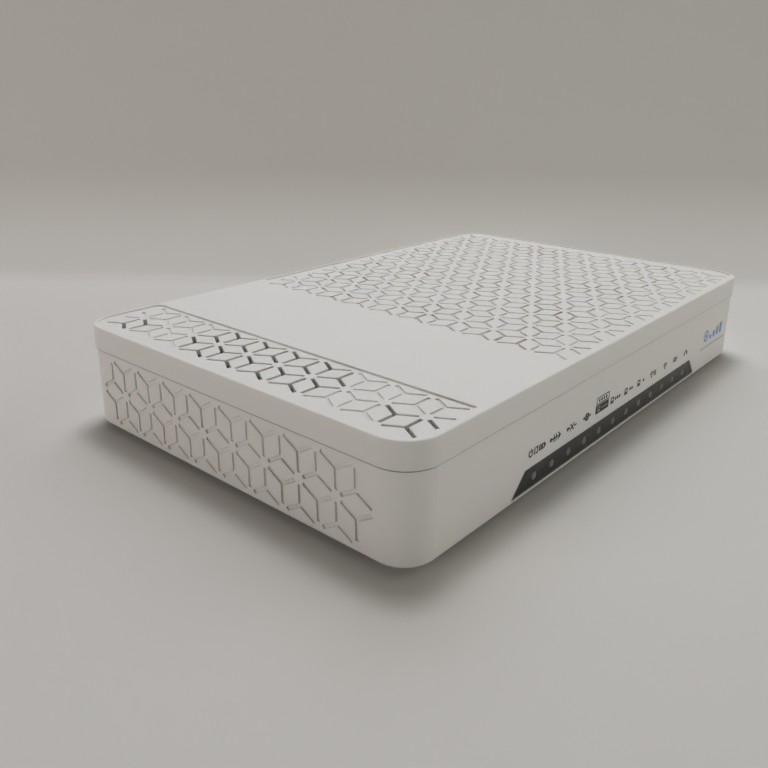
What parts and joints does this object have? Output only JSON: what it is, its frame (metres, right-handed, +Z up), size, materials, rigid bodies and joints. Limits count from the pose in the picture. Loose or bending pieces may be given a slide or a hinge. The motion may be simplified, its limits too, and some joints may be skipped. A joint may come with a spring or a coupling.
{
  "type": "optical network terminal",
  "caption": "Flat white desktop optical network terminal with a star-lattice vented lid, front light window, rear ports and side buttons.",
  "frame": {"origin": "centre of the case footprint on the plane of the feet", "axes": "+X along the length, to the right when the light window is seen from the front; +Y towards the rear ports; +Z up through the lid"},
  "size_m": [0.22, 0.14, 0.0353],
  "materials": {
    "shell_white": "fine matt moulded",
    "window_black": "smoked, satin",
    "light_pipe": "frosted clear",
    "led_epoxy": "clear",
    "rubber_grey": "matt",
    "screw_steel": "zinc plated",
    "label_paper": "printed film, blank",
    "pcb_green": "solder mask",
    "chip_black": "moulded",
    "pad_blue": "silicone",
    "heatsink_alu": "extruded",
    "tin_shield": "tinned",
    "can_alu": "sleeved",
    "ferrite_grey": "ferrite",
    "jack_yellow": "moulded",
    "jack_grey": "moulded",
    "contact_gold": "gold flash",
    "usb_steel": "nickel",
    "connector_black": "moulded",
    "switch_black": "moulded",
    "plunger_white": "acetal",
    "button_grey": "fine matt",
    "button_white": "fine matt",
    "adapter_green": "moulded",
    "ceramic_white": "polished zirconia",
    "fibre_jacket": "extruded",
    "cap_white": "soft moulded",
    "antenna_board": "solder mask",
    "coax_black": "extruded"
  },
  "bodies": {
    "case": {"base_housing": "shell_white", "top_cover": "shell_white", "led_window": "window_black", "light_guide": "light_pipe", "status_leds": "led_epoxy", "rubber_feet": "rubber_grey", "case_screws": "screw_steel", "rating_label": "label_paper", "main_pcb": "pcb_green", "pcb_screws": "screw_steel", "soc_chip": "chip_black", "thermal_pad": "pad_blue", "heatsink": "heatsink_alu", "memory_chips": "chip_black", "crystals": "tin_shield", "wifi_shield": "tin_shield", "optical_module": "tin_shield", "line_interface_chips": "chip_black", "lan_transformers": "chip_black", "capacitors": "can_alu", "inductors": "ferrite_grey", "lan_jacks": "jack_yellow", "lan_contacts": "contact_gold", "phone_jacks": "jack_grey", "phone_contacts": "contact_gold", "usb_shell": "usb_steel", "usb_tongue": "plunger_white", "dc_jack": "connector_black", "dc_pin": "usb_steel", "power_switch": "switch_black", "reset_switch": "switch_black", "wlan_switch": "switch_black", "wps_switch": "switch_black", "optical_adapter": "adapter_green", "ceramic_sleeve": "ceramic_white", "fibre_plug": "adapter_green", "fibre_ferrule": "ceramic_white", "fibre_pigtail": "fibre_jacket", "antenna_left": "antenna_board", "antenna_front": "antenna_board", "antenna_cable_left": "coax_black", "antenna_cable_front": "coax_black"},
    "power_button": {"power_button": "button_grey", "power_plunger": "plunger_white"},
    "reset_plunger": {"reset_plunger": "button_grey"},
    "wlan_button": {"wlan_button": "button_white", "wlan_plunger": "plunger_white"},
    "wps_button": {"wps_button": "button_white", "wps_plunger": "plunger_white"},
    "dust_cap": {"dust_cap": "cap_white"}
  },
  "joints": [
    {"name": "power_press", "type": "slide", "parent": "case", "child": "power_button", "axis": [0, -1, 0], "range_m": [0, 0.0022]},
    {"name": "reset_press", "type": "slide", "parent": "case", "child": "reset_plunger", "axis": [0, -1, 0], "range_m": [0, 0.0004]},
    {"name": "wlan_press", "type": "slide", "parent": "case", "child": "wlan_button", "axis": [-1, 0, 0], "range_m": [0, 0.0005]},
    {"name": "wps_press", "type": "slide", "parent": "case", "child": "wps_button", "axis": [-1, 0, 0], "range_m": [0, 0.0005]},
    {"name": "dust_cap_pull", "type": "slide", "parent": "case", "child": "dust_cap", "axis": [0, 1, 0], "range_m": [0, 0.02]}
  ]
}
